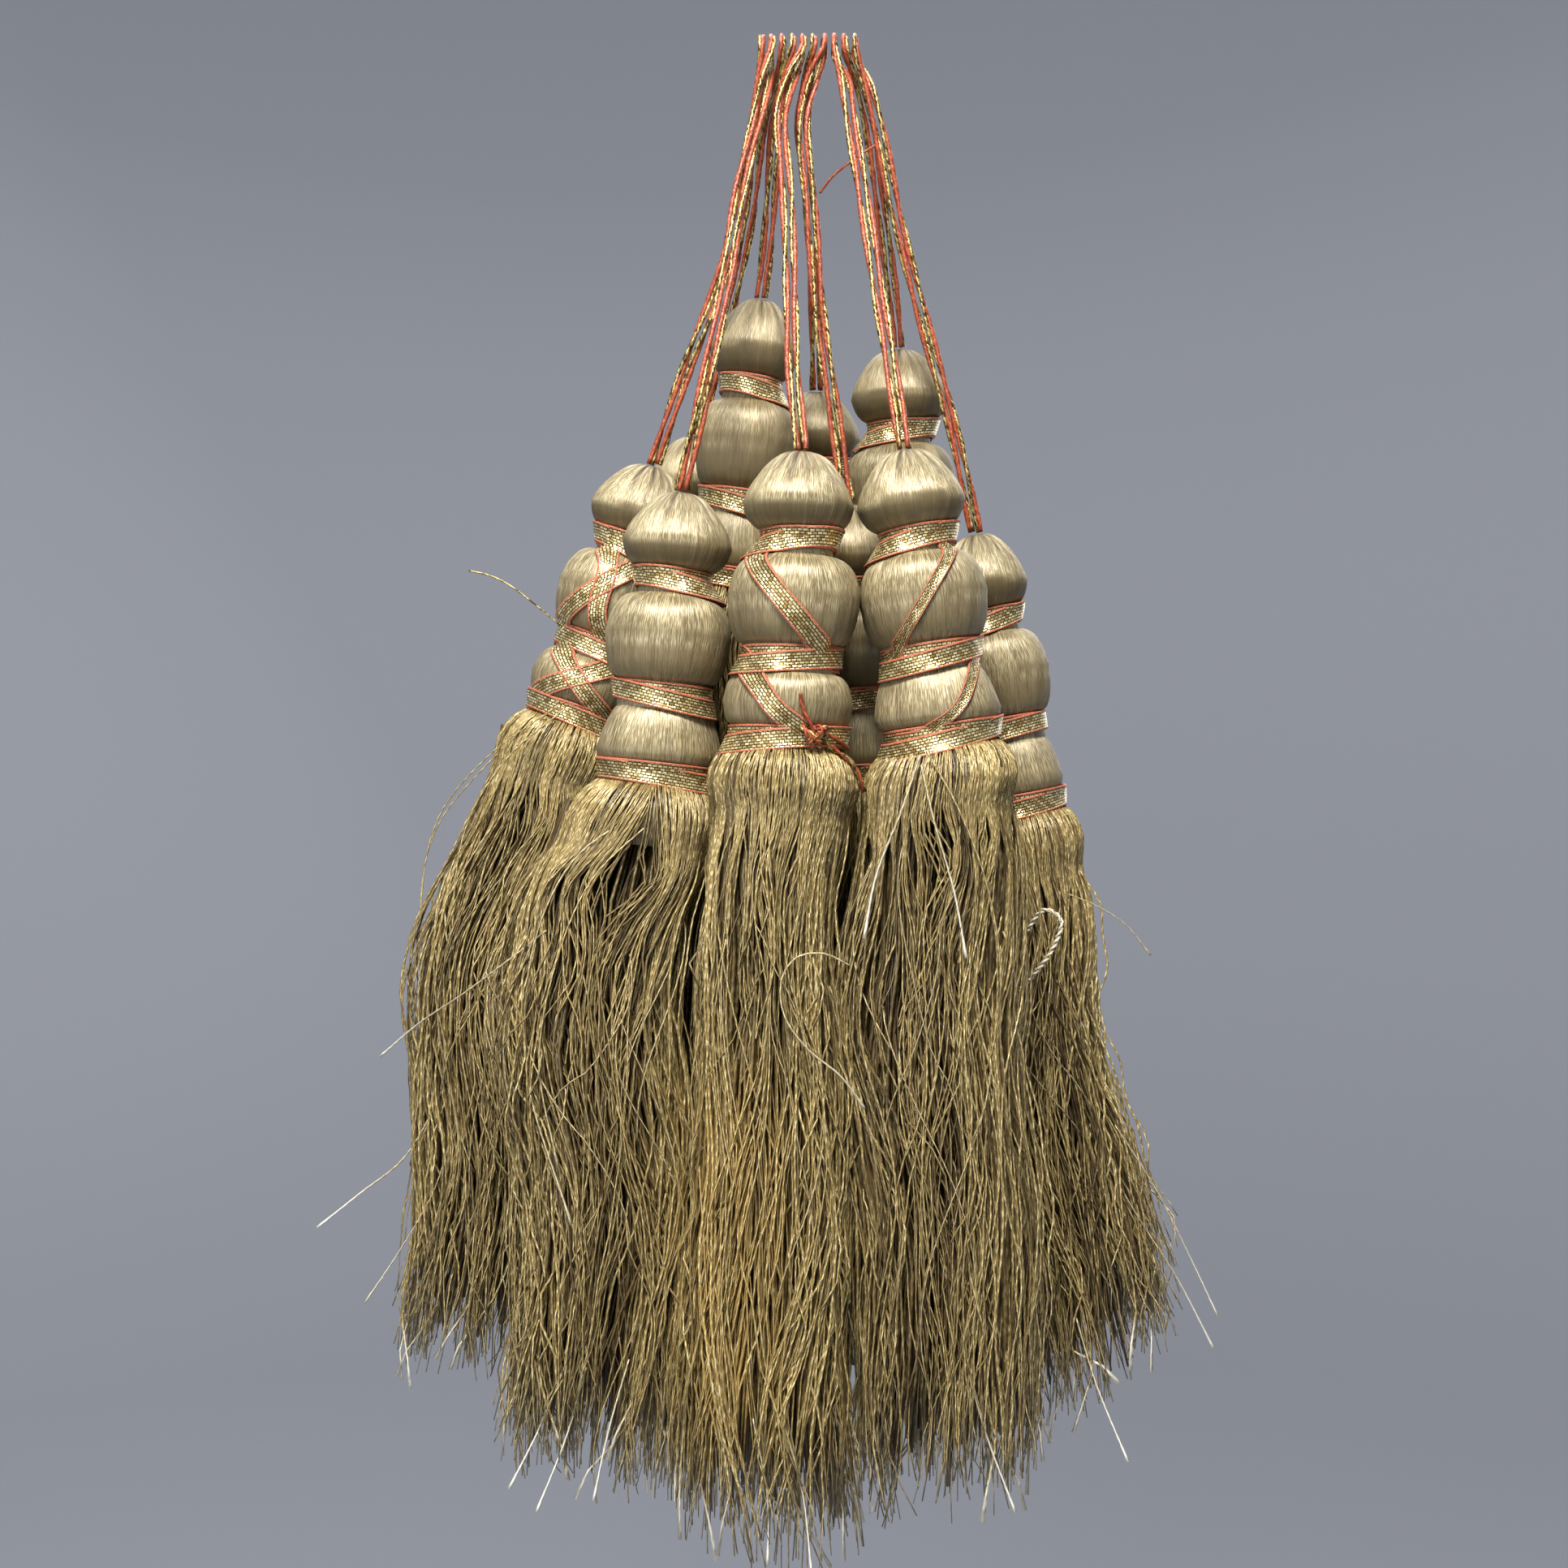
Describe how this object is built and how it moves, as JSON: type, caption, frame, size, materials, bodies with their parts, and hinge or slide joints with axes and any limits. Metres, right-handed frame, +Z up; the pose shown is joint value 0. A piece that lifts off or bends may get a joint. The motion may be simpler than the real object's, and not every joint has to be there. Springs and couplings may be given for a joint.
{
  "type": "tassel bunch",
  "caption": "Bunch of long silky thread tassels with bulbed heads, bound with metallic ribbon and hanging together by their cord loops.",
  "frame": {"origin": "middle of the row of loop crowns, where the bunch is held up", "axes": "+Z up, from the skirts to the loop crowns; +X to the right and +Y to the back, seen from the picture's side"},
  "size_m": [0.2094, 0.121, 0.3367],
  "materials": {
    "silk": "silky thread with a soft sheen",
    "metallic_ribbon": "woven metallic gold ribbon with orange edges",
    "loop_cord": "twist of an orange ply and a metallic gold ply"
  },
  "bodies": {
    "root": {"tassel_t1": "silk", "tassel_t2": "silk", "tassel_t3": "silk", "tassel_t4": "silk", "tassel_t5": "silk", "tassel_t6": "silk", "tassel_t7": "silk", "tassel_t8": "silk", "tassel_t9": "silk", "tassel_t10": "silk", "ribbon_t1": "metallic_ribbon", "ribbon_t2": "metallic_ribbon", "ribbon_t3": "metallic_ribbon", "ribbon_t4": "metallic_ribbon", "ribbon_t5": "metallic_ribbon", "ribbon_t6": "metallic_ribbon", "ribbon_t7": "metallic_ribbon", "ribbon_t8": "metallic_ribbon", "ribbon_t9": "metallic_ribbon", "ribbon_t10": "metallic_ribbon", "loop_t1": "loop_cord", "loop_t2": "loop_cord", "loop_t3": "loop_cord", "loop_t4": "loop_cord", "loop_t5": "loop_cord", "loop_t6": "loop_cord", "loop_t7": "loop_cord", "loop_t8": "loop_cord", "loop_t9": "loop_cord", "loop_t10": "loop_cord"}
  },
  "joints": []
}
